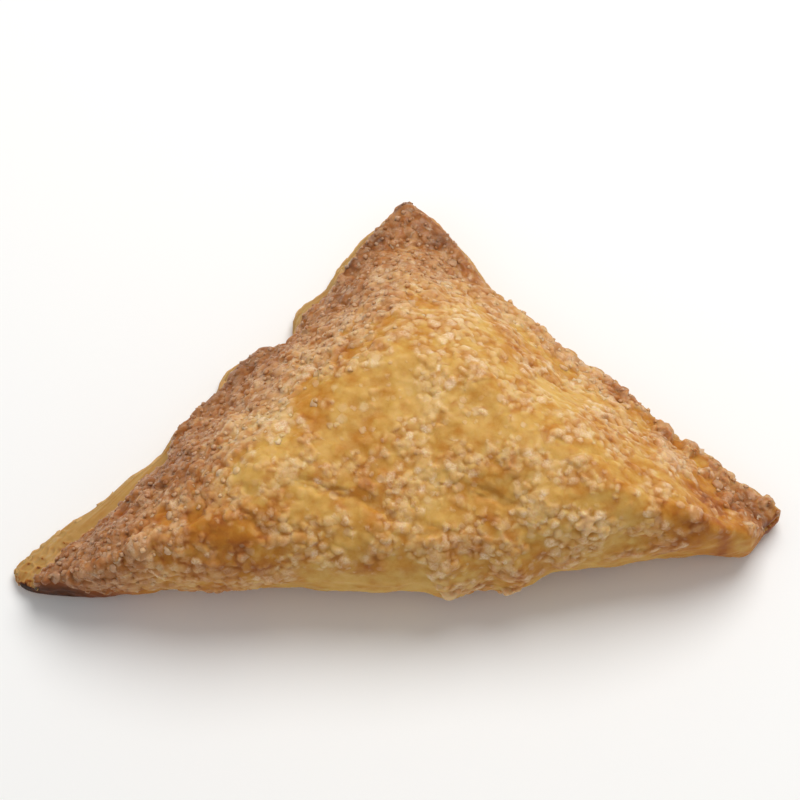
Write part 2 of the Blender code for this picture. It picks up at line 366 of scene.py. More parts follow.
def creaseDepth(points):
    depth = np.zeros(len(points))
    wander = 0.8 * noiseField(points, 3.0, 14.0)
    for start, end, width, deep in crustLook["creases"]:
        start = np.array(start)
        run = np.array(end) - start
        share = np.clip(((points[:, :2] - start) @ run) / (run @ run), 0.0, 1.0)
        gap = np.linalg.norm(points[:, :2] - start - share[:, None] * run, axis=1) + wander
        depth += deep * falling(gap, width) * ease(1 - np.abs(2 * share - 1), -0.3, 0.5)
    return depth


def layerLines(points):
    # long thin lines that follow the two cut sides, from about -1 to 1
    length, spacing, _ = crustLook["layerLine"]
    left = insideOf(points, apex, leftTip)
    right = insideOf(points, rightTip, apex)
    nearLeft = left < right
    inward = np.where(nearLeft, left, right) + points[:, 2]
    run = np.where(nearLeft, points[:, 0] + points[:, 1], points[:, 0] - points[:, 1])
    return noiseField(np.column_stack((run / length, inward / spacing, nearLeft * 9.0)), 1.0, 17.0)


def openCells(points):
    # the open crumb on the lower sheet's end at the left tip: 0 on its walls, 1 in its holes
    reach = gapTo(points, leftTip)
    cells = np.zeros(len(points))
    for i in np.flatnonzero(reach < crustLook["cellReach"]):
        gaps, _ = noise.voronoi((points[i] * [1, 1, 0.6] / crustLook["cellSize"]).tolist())
        cells[i] = gaps[1] - gaps[0]
    return ease(cells, 0.04, 0.32) * (1 - ease(reach, crustLook["cellReach"] - 5, crustLook["cellReach"]))


def puffCrust(skin):
    mesh = skin.data
    points, normals = readPoints(mesh), readNormals(mesh)
    place = places(points, normals)
    free = (1 - place["under"]) * (1 - 0.75 * place["cut"]) * ease(place["height"], 0.2, 3.0)
    lift = np.zeros(len(points))
    for size, height, layer in crustLook["puffs"]:
        lift += height * noiseField(points, size, layer)
    along, across, layer = crustLook["wrinkleSize"]
    stretched = np.column_stack((points[:, 0] / along, points[:, 1] / across, points[:, 2] / across))
    ridges = 1 - np.abs(noiseField(stretched, 1.0, layer))
    lift += crustLook["wrinkleDepth"] * (np.clip(ridges, 0, 1) ** 4 - 0.3)
    lift -= creaseDepth(points) * ease(place["up"], 0.1, 0.4)
    lift *= free
    lines = layerLines(points)
    cells = openCells(points)
    onLedge = place["cut"] * ease(place["height"], 0.2, 1.0)
    lift += onLedge * (crustLook["layerLine"][2] * lines - crustLook["cellDepth"] * cells)
    moved = points + normals * lift[:, None]
    back = np.interp(points[:, 0], *zip(*crustLook["stepBack"]))
    back *= ease(place["height"], 4.9, 6.4) * falling(place["left"], 7.0)
    moved -= outLeft * back[:, None]
    for x, y, radius, pushX, pushY in crustLook["pushes"]:
        near = falling(np.hypot(points[:, 0] - x, points[:, 1] - y), radius)
        moved[:, 0] += pushX * near
        moved[:, 1] += pushY * near
    writePoints(mesh, moved)
    # the ledge's colour: stripes along the layer lines, the open crumb's holes darker as painted shade and
    # its walls paler
    return onLedge * (0.15 * lines + 0.16 * (cells - 0.6) * falling(place["toLeftTip"], 12.0))


def treeOf(spots):
    tree = KDTree(len(spots))
    for i, spot in enumerate(spots):
        tree.insert(spot, i)
    tree.balance()
    return tree


def scatter(mesh, amountAt, spacing, tries, random):
    # throws points onto the faces, more where the amount is more, and none nearer than the spacing
    points, normals = readPoints(mesh), readNormals(mesh)
    mesh.calc_loop_triangles()
    corners = np.empty(len(mesh.loop_triangles) * 3, dtype=np.int64)
    mesh.loop_triangles.foreach_get("vertices", corners)
    corners = corners.reshape(-1, 3)
    a, b, c = points[corners[:, 0]], points[corners[:, 1]], points[corners[:, 2]]
    amount = amountAt(points, normals)[corners].mean(axis=1)
    chance = np.linalg.norm(np.cross(b - a, c - a), axis=1) * amount
    faces = random.choice(len(corners), size=tries, p=chance / chance.sum())
    u, v = random.random(tries), random.random(tries)
    flip = u + v > 1
    u[flip], v[flip] = 1 - u[flip], 1 - v[flip]
    spots = a[faces] + (b - a)[faces] * u[:, None] + (c - a)[faces] * v[:, None]
    leans = normals[corners[faces]].mean(axis=1)
    leans /= np.linalg.norm(leans, axis=1)[:, None]
    room = spacing / np.sqrt(np.clip(amount[faces], 0.1, 1.0))
    tree = treeOf(spots)
    free = np.ones(tries, dtype=bool)
    kept = []
    for i in range(tries):
        if free[i]:
            kept.append(i)
            for _, other, _ in tree.find_range(spots[i], room[i]):
                free[other] = False
    return spots[kept], leans[kept]


def turnsFor(normals, random, tilt):
    # a turn for each grain: its own Z near the crust's normal, spun at random
    z = normals + tilt * random.standard_normal(normals.shape)
    z /= np.linalg.norm(z, axis=1)[:, None]
    x = np.cross(z, random.standard_normal(z.shape))
    x /= np.linalg.norm(x, axis=1)[:, None]
    return np.stack((x, np.cross(z, x), z), axis=2)


def lumpField(points, lumps, near):
    # blunt blocky lumps that meet in creases: height, share (1 in a lump's middle) and the lump's own tone
    tree = treeOf(lumps["spots"])
    found = np.array([[hit[1] for hit in tree.find_n(point, near)] for point in points.tolist()])
    gaps = points[:, None, :] - lumps["spots"][found]
    local = np.einsum("pki,pkij->pkj", gaps, lumps["turns"][found]) / lumps["radii"][found]
    share = np.clip(1 - (np.abs(local) ** lumps["bluntness"]).sum(axis=2), 0, None)
    share = share ** 0.8
    rise = share * lumps["heights"][found]
    best = rise.argmax(axis=1)
    rows = np.arange(len(points))
    return rise[rows, best], share[rows, best], lumps["tones"][found[rows, best]]


def newLumps(spots, leans, sizes, heights, bluntness, random):
    count = len(spots)
    turns = turnsFor(leans, random, 0.1)
    widths = random.uniform(0.75, 1.25, (count, 2))
    return {
        "spots": spots,
        "turns": turns,
        "radii": sizes[:, None] * np.column_stack((widths, np.full(count, 1.2))),
        "heights": heights,
        "tones": random.random(count),
        "bluntness": bluntness,
    }


meltLook = {
    # lumps and domes have their height as a share of their radius, clumps in mm
    "lumps": {
        "spacing": 1.5, "tries": 40000, "radius": (0.70, 1.35), "height": (0.35, 0.62), "bluntness": 2.5,
    },
    "domes": {
        "spacing": 1.7, "tries": 18000, "radius": (0.50, 1.40), "height": (0.26, 0.42), "bluntness": 2.6,
    },
    "clumps": {
        "spacing": 3.6, "tries": 8000, "radius": (1.5, 2.9), "height": (0.35, 0.75), "bluntness": 3.0,
    },
    "warp": 0.45, "warpSize": 1.6,      # how far the lumps are pulled out of shape, in mm
    "clumpWarp": 1.6, "chunkWarp": 2.2,
    "glaze": 0.40,                      # how much stands between the sugared patches
    "topHeight": 0.55,                  # how high the lumps are where they are least white
    "gapShade": 0.10,                    # painted shade: how much browner the gaps between the lumps are made
    "chunkBluntness": 4.0,
    # the largest clumps of sugar: x, y, z, radius, height
    "chunks": [
        (56.4, -22.1, 17.4, 2.6, 0.9), (58.5, -25.0, 16.0, 1.7, 0.7), (42.5, -12.5, 22.0, 2.3, 0.7),
        (37.7, -38.8, 28.3, 2.0, 0.7), (57.0, -11.6, 9.2, 2.2, 1.6), (76.3, -28.9, 8.2, 1.6, 0.9),
        (68.5, -23.1, 8.2, 1.9, 1.1), (61.9, -15.4, 8.8, 2.0, 1.1), (48.4, -2.7, 9.3, 1.8, 1.0),
        (-46.8, -19.8, 19.5, 2.8, 0.9), (-32.8, -11.4, 23.9, 2.6, 0.8), (-53.3, -35.7, 24.6, 2.2, 0.7),
        (-41.0, -14.0, 20.0, 2.0, 0.7), (-51.0, -24.0, 17.0, 2.0, 0.8), (9.0, -46.6, 13.3, 1.8, 0.8),
        (21.6, -44.7, 10.5, 1.8, 0.8), (-16.0, 14.0, 14.0, 2.2, 0.7), (-3.0, 27.0, 12.0, 2.0, 0.6),
    ],
}
grainLook = {
    "spacing": 2.1,
    "tries": 12000,
    "size": 1.6, "spread": 0.15, "sizeRange": (1.0, 2.3),
    "stand": (-0.20, 0.02),     # how far its middle stands above the crust, as a share of its size
    "flat": (0.50, 0.72),
    "shapes": 8,
    "mound": 0.95, "moundHeight": 0.30,
    "browner": 0.06,            # a grain is this much browner than the crust under it
    "dents": 0.10,
}
frostLook = {"least": 0.45, "flank": (14.0, 34.0), "rim": (5.0, 15.0), "rimShare": 0.6}


def frostAt(place):
    # how white the sugar is: most on the left flank, less on the rims, least on top
    flank = 1 - ease(place["left"], *frostLook["flank"])
    rim = 1 - ease(place["rim"], *frostLook["rim"])
    most = np.maximum(flank, frostLook["rimShare"] * rim)
    return frostLook["least"] + (1 - frostLook["least"]) * most


def grainsAt(points, normals):
    # whole grains stay on the left flank and the rims
    place = places(points, normals)
    share = ease(frostAt(place), 0.5, 0.9) * (1 - ease(place["cut"], 0.0, 0.1))
    return np.clip(sugarAt(points, normals) - 0.1, 0, 1) * share


def slim(place):
    # keeps the sugar thin along the outer edge, so the outline stays crisp
    return 0.35 + 0.65 * ease(place["rim"], 0.5, 5.0)


def clumpsAt(points, normals):
    place = places(points, normals)
    share = 1 - ease(place["left"], 14.0, 30.0) * ease(place["right"], 5.0, 12.0)
    return sugarAt(points, normals) * (0.12 + 0.88 * share)


def scatterMelted(kind, amountAt):
    # one kind of melted sugar, all over the crust
    look = meltLook[kind]
    spots, leans = scatter(crust.data, amountAt, look["spacing"], look["tries"], meltRandom)
    radii = meltRandom.uniform(*look["radius"], len(spots))
    if kind == "lumps":
        radii *= 0.8 + 0.55 * frostAt(places(spots, leans))
    heights = meltRandom.uniform(*look["height"], len(spots))
    if kind != "clumps":
        heights = radii * heights
    return newLumps(spots, leans, radii, heights, look["bluntness"], meltRandom)


crust = newCrust()
ledgeStripesAndHoleShade = puffCrust(crust)
print("crust:", len(crust.data.vertices), "points", len(crust.data.polygons), "faces")

meltRandom = np.random.default_rng(11)
lumps = scatterMelted("lumps", glazeAt)
clumps = scatterMelted("clumps", clumpsAt)
chunkLook = np.array(meltLook["chunks"])
crustPoints, crustNormals = readPoints(crust.data), readNormals(crust.data)
crustTree = treeOf(crustPoints)
nearest = [crustTree.find(spot)[1] for spot in chunkLook[:, :3].tolist()]
chunks = newLumps(
    crustPoints[nearest], crustNormals[nearest], chunkLook[:, 3], chunkLook[:, 4],
    meltLook["chunkBluntness"], meltRandom)
domes = scatterMelted("domes", sugarAt)

grainRandom = np.random.default_rng(23)
grainSpots, grainLeans = scatter(
    crust.data, grainsAt, grainLook["spacing"], grainLook["tries"], grainRandom)
grainSizes = grainLook["size"] * np.exp(grainLook["spread"] * grainRandom.standard_normal(len(grainSpots)))
grainPlace = places(grainSpots, grainLeans)
grainSizes *= (0.80 + 0.50 * frostAt(grainPlace)) * (0.65 + 0.35 * ease(grainPlace["rim"], 0.5, 5.0))
grainSizes = np.clip(grainSizes, *grainLook["sizeRange"])
moundHeights = grainSizes * grainLook["moundHeight"]
mounds = newLumps(
    grainSpots, grainLeans, grainSizes * grainLook["mound"], moundHeights, 2.0, grainRandom)
print("lumps:", len(lumps["spots"]), " clumps:", len(clumps["spots"]), " whole grains:", len(grainSpots))


def raiseMeltedSugar(skin, ledgeBakeAndShade):
    mesh = skin.data
    points, normals = readPoints(mesh), readNormals(mesh)
    place = places(points, normals)
    cover = sugarAt(points, normals)
    drift = np.column_stack([noiseField(points, meltLook["warpSize"], 31.0 + i) for i in range(3)])
    warped = points + drift * meltLook["warp"]
    rise, share, tone = lumpField(warped, lumps, 6)
    clumpWarped = points + drift * meltLook["warp"] * meltLook["clumpWarp"]
    clumpRise, clumpShare, clumpTone = lumpField(clumpWarped, clumps, 4)
    chunkWarped = points + drift * meltLook["warp"] * meltLook["chunkWarp"]
    chunkRise, chunkShare, _ = lumpField(chunkWarped, chunks, 3)
    moundRise, moundShare, _ = lumpField(points, mounds, 3)
    domeRise, domeShare, domeTone = lumpField(warped, domes, 4)
    thick = ease(cover, 0.0, 0.5)
    glaze = meltLook["glaze"] * openTo(points, place) * (1 - thick)
    lift = np.maximum(np.maximum(rise, domeRise), moundRise) * thick + clumpRise * thick + rise * glaze
    full = meltLook["topHeight"] + (1 - meltLook["topHeight"]) * frostAt(place)
    lift *= ease(points[:, 2], 0.3, 2.0) * full * slim(place)
    lift += chunkRise
    moved = points + normals * lift[:, None]
    moved[:, 2] = np.maximum(moved[:, 2], 0.0)
    writePoints(mesh, moved)
    # paler middles of the lumps and domes: partly the sugar's own paleness, partly painted highlight
    highlitDomeTips = ease(domeShare, 0.05, 0.85) * (0.30 + 0.70 * domeTone)
    paleTopsAndHighlights = ease(share, 0.25, 0.85) * (0.35 + 0.65 * tone)
    paleTopsAndHighlights = np.maximum(paleTopsAndHighlights, 0.8 * ease(clumpShare, 0.2, 0.8) * clumpTone)
    paleTopsAndHighlights = np.maximum(paleTopsAndHighlights, np.maximum(highlitDomeTips, ease(chunkShare, 0.1, 0.5)))
    # painted shade: the gaps between the lumps are made browner
    gaps = 1 - np.maximum(np.maximum(share, domeShare), np.maximum(moundShare, 0.6 * clumpShare))
    bake = bakeAt(points, normals) + ledgeBakeAndShade + meltLook["gapShade"] * (thick + glaze) * gaps
    # the sugar value carries the sugar's whiteness and the painted highlights on the lumps' middles
    sugarWithHighlight = (paleTopsAndHighlights * 0.7 + 0.3) * frostAt(place) * thick + 0.25 * paleTopsAndHighlights * glaze
    sugarWithHighlight = np.maximum(sugarWithHighlight, 0.9 * ease(chunkShare, 0.05, 0.5))
    sugarWithHighlight = np.maximum(sugarWithHighlight, 0.8 * highlitDomeTips * thick)
    # painted highlight: a white core in the middle of each dome
    highlightCore = ease(domeShare, 0.2, 0.9) * (0.25 + 0.75 * domeTone ** 1.5) * thick
    writeAttribute(mesh, "cover", np.clip(0.25 * openTo(points, place) + 0.75 * cover, 0, 1))
    writeAttribute(mesh, "bake", np.clip(bake, 0, 1))
    writeAttribute(mesh, "highlightCore", np.clip(highlightCore, 0, 1))
    writeAttribute(mesh, "sugar", np.clip(sugarWithHighlight, 0, 1))
    writeAttribute(mesh, "cut", place["cut"])


def thinCrust(skin):
    triangles = sum(len(face.vertices) - 2 for face in skin.data.polygons)
    addAndApply(skin, "DECIMATE", ratio=min(1.0, crustLook["triangles"] / triangles))
    skin.data.shade_smooth()


raiseMeltedSugar(crust, ledgeStripesAndHoleShade)
thinCrust(crust)
print("sugar melted on:", len(crust.data.polygons), "faces")


# whole grains and crumbs of sugar, joined into one piece for each kind

def grainShapes(count, seed):
    # small rounded blocks, each with its own dents
    shapes = []
    for number in range(count):
        bpy.ops.object.select_all(action="DESELECT")
        bpy.ops.mesh.primitive_cube_add(size=0.8)
        block = bpy.context.object
        bpy.ops.object.mode_set(mode="EDIT")
        bpy.ops.mesh.select_all(action="SELECT")
        bpy.ops.mesh.subdivide(number_cuts=1, smoothness=0.62)
        bpy.ops.transform.vertex_random(
            offset=grainLook["dents"], uniform=0.6, normal=0.3, seed=seed + number)
        bpy.ops.mesh.normals_make_consistent(inside=False)
        bpy.ops.object.mode_set(mode="OBJECT")
        points = readPoints(block.data) * mm
        faces = np.array([tuple(face.vertices) for face in block.data.polygons])
        shapes.append((points - points.mean(axis=0), faces))
        bpy.data.objects.remove(block)
    return shapes


def joinGrains(name, shapes, middles, leans, tilt, scales, values, random):
    points, faces, spread, rise = [], [], {key: [] for key in values}, []
    turns = turnsFor(leans, random, tilt)
    start = 0
    choice = random.integers(len(shapes), size=len(middles))
    for i, middle in enumerate(middles):
        shapePoints, shapeFaces = shapes[choice[i]]
        block = (shapePoints * scales[i]) @ turns[i].T
        points.append(block + middle)
        # each grain's upper part is made paler as painted highlight, its lower edge keeps the crust's
        # colour
        rise.append(ease(block @ leans[i] / scales[i].mean(), -0.1, 0.42))
        faces.append(shapeFaces + start)
        start += len(shapePoints)
        for key, parts in spread.items():
            parts.append(np.full(len(shapePoints), values[key][i]))
    piece = newPiece(name, np.concatenate(points), np.concatenate(faces).tolist())
    piece.data.shade_smooth()
    for key, parts in spread.items():
        writeAttribute(piece.data, key, np.concatenate(parts))
    writeAttribute(piece.data, "top", np.concatenate(rise))
    return piece


def coarseSugar():
    random = grainRandom
    count = len(grainSpots)
    scales = grainSizes[:, None] * np.column_stack([
        random.uniform(0.85, 1.15, count),
        random.uniform(0.75, 1.05, count),
        random.uniform(*grainLook["flat"], count),
    ])
    middles = grainSpots + grainLeans * (grainSizes * random.uniform(*grainLook["stand"], count))[:, None]
    bake = bakeAt(grainSpots, grainLeans) + grainLook["browner"]
    values = {"bake": bake, "tone": random.random(count)}
    shapes = grainShapes(grainLook["shapes"], 100)
    return joinGrains("coarse_sugar", shapes, middles, grainLeans, 0.35, scales, values, random)


crumbLook = {"spacing": 1.7, "tries": 12000, "size": (0.6, 1.1), "stand": (-0.3, 0.0), "shapes": 5}


def fineSugar():
    random = np.random.default_rng(37)
    spots, leans = scatter(crust.data, grainsAt, crumbLook["spacing"], crumbLook["tries"], random)
    count = len(spots)
    sizes = random.uniform(*crumbLook["size"], count)
    scales = sizes[:, None] * random.uniform(0.75, 1.15, (count, 3))
    middles = spots + leans * (sizes * random.uniform(*crumbLook["stand"], count))[:, None]
    values = {"bake": bakeAt(spots, leans) + grainLook["browner"], "tone": random.random(count)}
    shapes = grainShapes(crumbLook["shapes"], 300)
    return joinGrains("fine_sugar", shapes, middles, leans, 0.6, scales, values, random)


coarse = coarseSugar()
fine = fineSugar()
print("grains joined:", len(coarse.data.polygons), "and", len(fine.data.polygons), "faces")


# flaky layers standing out of the two cut sides

layerLook = {
    "count": 10,
    "lowest": 0.7, "highest": 8.4,
    "step": 0.55,
    "thickness": (0.30, 0.62),
    "standOut": 0.18, "ragged": 0.40, "raggedSize": 3.6,
    "wave": 0.55, "waveSize": 9.0, "ripple": 0.18, "rippleSize": 2.1,
    "inside": 1.2,
    "steepest": 0.55,           # no layer stands out where the crust faces up more than this
    "startOut": 14.0,           # how far outside the pastry the search for its sides starts
    "cornerSteps": 14,
}


def cutSidePath(step):
    # points outside the pastry along both cut sides and round the apex, each with its way inwards
    distance = layerLook["startOut"]
    path = []
    sides = [(rightTip, apex, outRight), (apex, leftTip, outLeft)]
    for number, (start, end, out) in enumerate(sides):
        run = np.array([end[0] - start[0], end[1] - start[1], 0.0])
        steps = int(np.linalg.norm(run) / step)
        for i in range(steps):
            path.append((start + run * (i / steps) + out * distance, -out))
        other = outLeft if number == 0 else np.array([-0.75, -0.66, 0.0])
        fan = layerLook["cornerSteps"]
        for i in range(fan):
            aim = out * (1 - i / fan) + other * (i / fan)
            aim /= np.linalg.norm(aim)
            corner = np.array([end[0], end[1], 0.0]) - (out + other) * 1.5
            path.append((corner + aim * (distance + 2.0), -aim))
    return path


def layerRings(tree, path, level, layer, thick, share):
    rings = []
    for i, (outside, inward) in enumerate(path):
        along = i * layerLook["step"]
        lift = layerLook["wave"] * noise.noise((along / layerLook["waveSize"], layer, 0.0))
        lift += layerLook["ripple"] * noise.noise((along / layerLook["rippleSize"], layer, 7.0))
        spot = Vector((outside[0], outside[1], level + lift))
        hit, normal, _, _ = tree.ray_cast(spot * mm, Vector(inward.tolist()), 40 * mm)
        if hit is None or normal.z > layerLook["steepest"]:
            rings.append(None)
            continue
        ragged = noise.noise((along / layerLook["raggedSize"], layer, 3.0))
        ragged += 0.6 * noise.noise((along * 3 / layerLook["raggedSize"], layer, 5.0))
        out = max(layerLook["standOut"] * (1.0 - 0.45 * share) + layerLook["ragged"] * ragged, -0.5)
        half = thick * (0.5 + 0.3 * noise.noise((along / 2.7, layer, 9.0)))
        front = np.array(hit) / mm
        profile = [
            (-layerLook["inside"], 0.8), (out * 0.35, 1.0), (out, 0.35), (out, -0.45), (out * 0.35, -1.0),
            (-layerLook["inside"], -0.8)]
        rings.append([front - inward * reach + np.array([0, 0, half * rise]) for reach, rise in profile])
    return rings


def unbroken(rings):
    # splits a row of rings wherever the layer stops or steps back
    runs, run = [], []
    for ring in rings + [None]:
        if ring is not None and (not run or np.linalg.norm(ring[2] - run[-1][2]) < 2.0):
            run.append(ring)
            continue
        if len(run) > 3:
            runs.append(run)
        run = [] if ring is None else [ring]
    return runs


def flakyLayers():
    tree = BVHTree.FromObject(crust, bpy.context.evaluated_depsgraph_get())
    path = cutSidePath(layerLook["step"])
    random = np.random.default_rng(51)
    points, faces, bake = [], [], []
    start = 0
    for number in range(layerLook["count"]):
        share = number / (layerLook["count"] - 1)
        level = layerLook["lowest"] + (layerLook["highest"] - layerLook["lowest"]) * share
        thick = random.uniform(*layerLook["thickness"])
        rings = layerRings(tree, path, level, float(random.uniform(0, 50)), thick, share)
        tone = 0.20 + 0.12 * abs(share - 0.5) + 0.05 * random.standard_normal()
        for run in unbroken(rings):
            count = len(run)
            for i in range(count - 1):
                for k in range(6):
                    j = (k + 1) % 6
                    low, high = start + i * 6, start + (i + 1) * 6
                    faces.append([low + k, low + j, high + j, high + k])
            faces.append([start + k for k in range(5, -1, -1)])
            faces.append([start + (count - 1) * 6 + k for k in range(6)])
            points.append(np.array(run).reshape(-1, 3))
            bake.append(tone + np.tile([0.0, 0.04, 0.12, 0.12, 0.04, 0.0], count))
            start += count * 6
    points = np.concatenate(points)
    points[:, 2] = np.maximum(points[:, 2], 0.05)
    flakes = newPiece("flaky_layers", points, faces)
    pickOnly(flakes)
    turnFacesOut()
    flakes.data.shade_smooth()
    toned = np.concatenate(bake) + 0.08 * noiseField(points, 5.0, 21.0)
    toned += 0.20 * falling(gapTo(points, apex), 6.0) + 0.20 * falling(gapTo(points, rightTip), 9.0)
    writeAttribute(flakes.data, "bake", np.clip(toned, 0.0, 1.0))
    return flakes


layers = flakyLayers()
print("flaky layers:", len(layers.data.polygons), "faces")


# materials

def addNode(tree, kind, settings=None, **inputs):
    node = tree.nodes.new(kind)
    for key, value in (settings or {}).items():
        setattr(node, key, value)
    for key, value in inputs.items():
        node.inputs[key.replace("_", " ")].default_value = value
    return node


def newGroup(name, inputs, outputs):
    group = bpy.data.node_groups.new(name, "ShaderNodeTree")
    for label, kind, value in inputs:
        socket = group.interface.new_socket(label, in_out="INPUT", socket_type=kind)
        if value is not None:
            socket.default_value = value
    for label, kind in outputs:
        group.interface.new_socket(label, in_out="OUTPUT", socket_type=kind)
    return group, group.nodes.new("NodeGroupInput"), group.nodes.new("NodeGroupOutput")


def feed(tree, socket, value):
    # value is another node's socket or a plain value
    if hasattr(value, "is_output"):
        tree.links.new(value, socket)
    else:
        socket.default_value = value


def mathNode(tree, operation, first, second):
    node = addNode(tree, "ShaderNodeMath", {"operation": operation})
    feed(tree, node.inputs[0], first)
    feed(tree, node.inputs[1], second)
    return node.outputs[0]


def ranged(tree, value, low, high):
    # brings 0 to 1 into low to high
    node = addNode(tree, "ShaderNodeMapRange", To_Min=low, To_Max=high)
    tree.links.new(value, node.inputs["Value"])
    return node.outputs["Result"]


def masked(tree, value, low, high, kind="SMOOTHSTEP"):
    # 0 at low and 1 at high
    node = addNode(tree, "ShaderNodeMapRange", {"interpolation_type": kind}, From_Min=low, From_Max=high)
    tree.links.new(value, node.inputs["Value"])
    return node.outputs["Result"]


def rampNode(tree, value, stops):
    node = addNode(tree, "ShaderNodeValToRGB")
    elements = node.color_ramp.elements
    elements.remove(elements[-1])
    elements[0].position, elements[0].color = stops[0]
    for position, colour in stops[1:]:
        elements.new(position).color = colour
    tree.links.new(value, node.inputs["Fac"])
    return node.outputs["Color"]


doughStops = [
    (0.00, srgb(228, 200, 152)), (0.14, srgb(216, 176, 104)), (0.30, srgb(205, 160, 82)),
    (0.45, srgb(188, 126, 45)), (0.60, srgb(163, 93, 28)), (0.76, srgb(130, 67, 16)),
    (0.90, srgb(94, 45, 10)), (1.00, srgb(52, 26, 12)),
]
sugarStops = [
    (0.00, srgb(232, 208, 170)), (0.26, srgb(219, 185, 136)), (0.42, srgb(202, 159, 111)),
    (0.56, srgb(165, 111, 62)), (0.80, srgb(126, 76, 37)), (1.00, srgb(92, 52, 29)),
]


floatSocket = "NodeSocketFloat"
vectorSocket = "NodeSocketVector"


def ovenColourGroup():
    # from how far a place is baked to the colours of its dough and its sugar, with a fine mottle
    group, inside, outside = newGroup(
        "ovenColour",
        [("Bake", floatSocket, 0.3), ("Mottle", floatSocket, 0.1), ("Place", vectorSocket, None)],
        [("Dough", "NodeSocketColor"), ("Sugar", "NodeSocketColor")],
    )
    link = group.links.new
    wide = addNode(group, "ShaderNodeTexNoise", Scale=420.0, Detail=4.0, Roughness=0.65)
    link(inside.outputs["Place"], wide.inputs["Vector"])
    centred = mathNode(group, "SUBTRACT", wide.outputs["Fac"], 0.5)
    change = mathNode(group, "MULTIPLY", centred, inside.outputs["Mottle"])
    total = mathNode(group, "ADD", inside.outputs["Bake"], change)
    link(rampNode(group, total, doughStops), outside.inputs["Dough"])
    paler = mathNode(group, "MULTIPLY", total, 0.86)
    link(rampNode(group, paler, sugarStops), outside.inputs["Sugar"])
    return group


def fineReliefGroup():
    # small pits and grain for bumps and for uneven gloss
    group, inside, outside = newGroup(
        "fineRelief",
        [("Place", vectorSocket, None), ("Size", floatSocket, 900.0), ("Pits", floatSocket, 0.5)],
        [("Height", floatSocket), ("Mask", floatSocket)],
    )
    link = group.links.new
    grain = addNode(group, "ShaderNodeTexNoise", Detail=4.0, Roughness=0.65)
    link(inside.outputs["Place"], grain.inputs["Vector"])
    link(inside.outputs["Size"], grain.inputs["Scale"])
    cells = addNode(group, "ShaderNodeTexVoronoi", {"feature": "SMOOTH_F1"})
    link(inside.outputs["Place"], cells.inputs["Vector"])
    link(inside.outputs["Size"], cells.inputs["Scale"])
    mixed = addNode(group, "ShaderNodeMix", {"data_type": "FLOAT"})
    link(inside.outputs["Pits"], mixed.inputs[0])
    link(grain.outputs["Fac"], mixed.inputs[2])
    link(cells.outputs["Distance"], mixed.inputs[3])
    link(mixed.outputs[0], outside.inputs["Height"])
    link(grain.outputs["Fac"], outside.inputs["Mask"])
    return group


def crystalGroup():
    # half-melted crystals seen in the glaze: pale round spots of uneven size, and the gaps between them
    group, inside, outside = newGroup(
        "crystals",
        [("Place", vectorSocket, None), ("Size", floatSocket, 600.0), ("Cover", floatSocket, 0.5)],
        [("Mask", floatSocket), ("Gap", floatSocket)],
    )
    link = group.links.new
    drift = addNode(group, "ShaderNodeTexNoise", Scale=900.0, Detail=2.0)
    link(inside.outputs["Place"], drift.inputs["Vector"])
    shrink = addNode(group, "ShaderNodeVectorMath", {"operation": "SCALE"}, Scale=0.0009)
    link(drift.outputs["Color"], shrink.inputs[0])
    moved = addNode(group, "ShaderNodeVectorMath", {"operation": "ADD"})
    link(inside.outputs["Place"], moved.inputs[0])
    link(shrink.outputs["Vector"], moved.inputs[1])
    cells = addNode(group, "ShaderNodeTexVoronoi", {"feature": "F1"})
    link(moved.outputs["Vector"], cells.inputs["Vector"])
    link(inside.outputs["Size"], cells.inputs["Scale"])
    chance = addNode(group, "ShaderNodeSeparateColor")
    link(cells.outputs["Color"], chance.inputs["Color"])
    radius = ranged(group, chance.outputs["Red"], 0.28, 0.52)
    depth = mathNode(group, "SUBTRACT", radius, cells.outputs["Distance"])
    spot = masked(group, depth, -0.10, 0.22)
    spare = mathNode(group, "SUBTRACT", inside.outputs["Cover"], chance.outputs["Green"])
    there = masked(group, spare, -0.05, 0.20, "LINEAR")
    tone = ranged(group, chance.outputs["Blue"], 0.45, 1.0)
    mask = mathNode(group, "MULTIPLY", spot, there)
    link(mathNode(group, "MULTIPLY", mask, tone), outside.inputs["Mask"])
    between = masked(group, depth, 0.02, -0.25)
    link(mathNode(group, "MULTIPLY", between, inside.outputs["Cover"]), outside.inputs["Gap"])
    return group


ovenColour = ovenColourGroup()
fineRelief = fineReliefGroup()
crystal = crystalGroup()


def startMaterial(name, sockets):
    material = bpy.data.materials.new(name)
    material.use_nodes = True
    tree = material.node_tree
    surface = tree.nodes["Principled BSDF"]
    for label, value in sockets.items():
        surface.inputs[label].default_value = value
    return material, tree, surface


def ownValue(tree, name):
    return addNode(tree, "ShaderNodeAttribute", {"attribute_name": name}).outputs["Fac"]


def groupNode(tree, group, place, **values):
    node = addNode(tree, "ShaderNodeGroup", {"node_tree": group}, **values)
    tree.links.new(place.outputs["Object"], node.inputs["Place"])
    return node


def mixColours(tree, share, first, second):
    node = addNode(tree, "ShaderNodeMix", {"data_type": "RGBA"})
    feed(tree, node.inputs[0], share)
    feed(tree, node.inputs[6], first)
    feed(tree, node.inputs[7], second)
    return node.outputs[2]


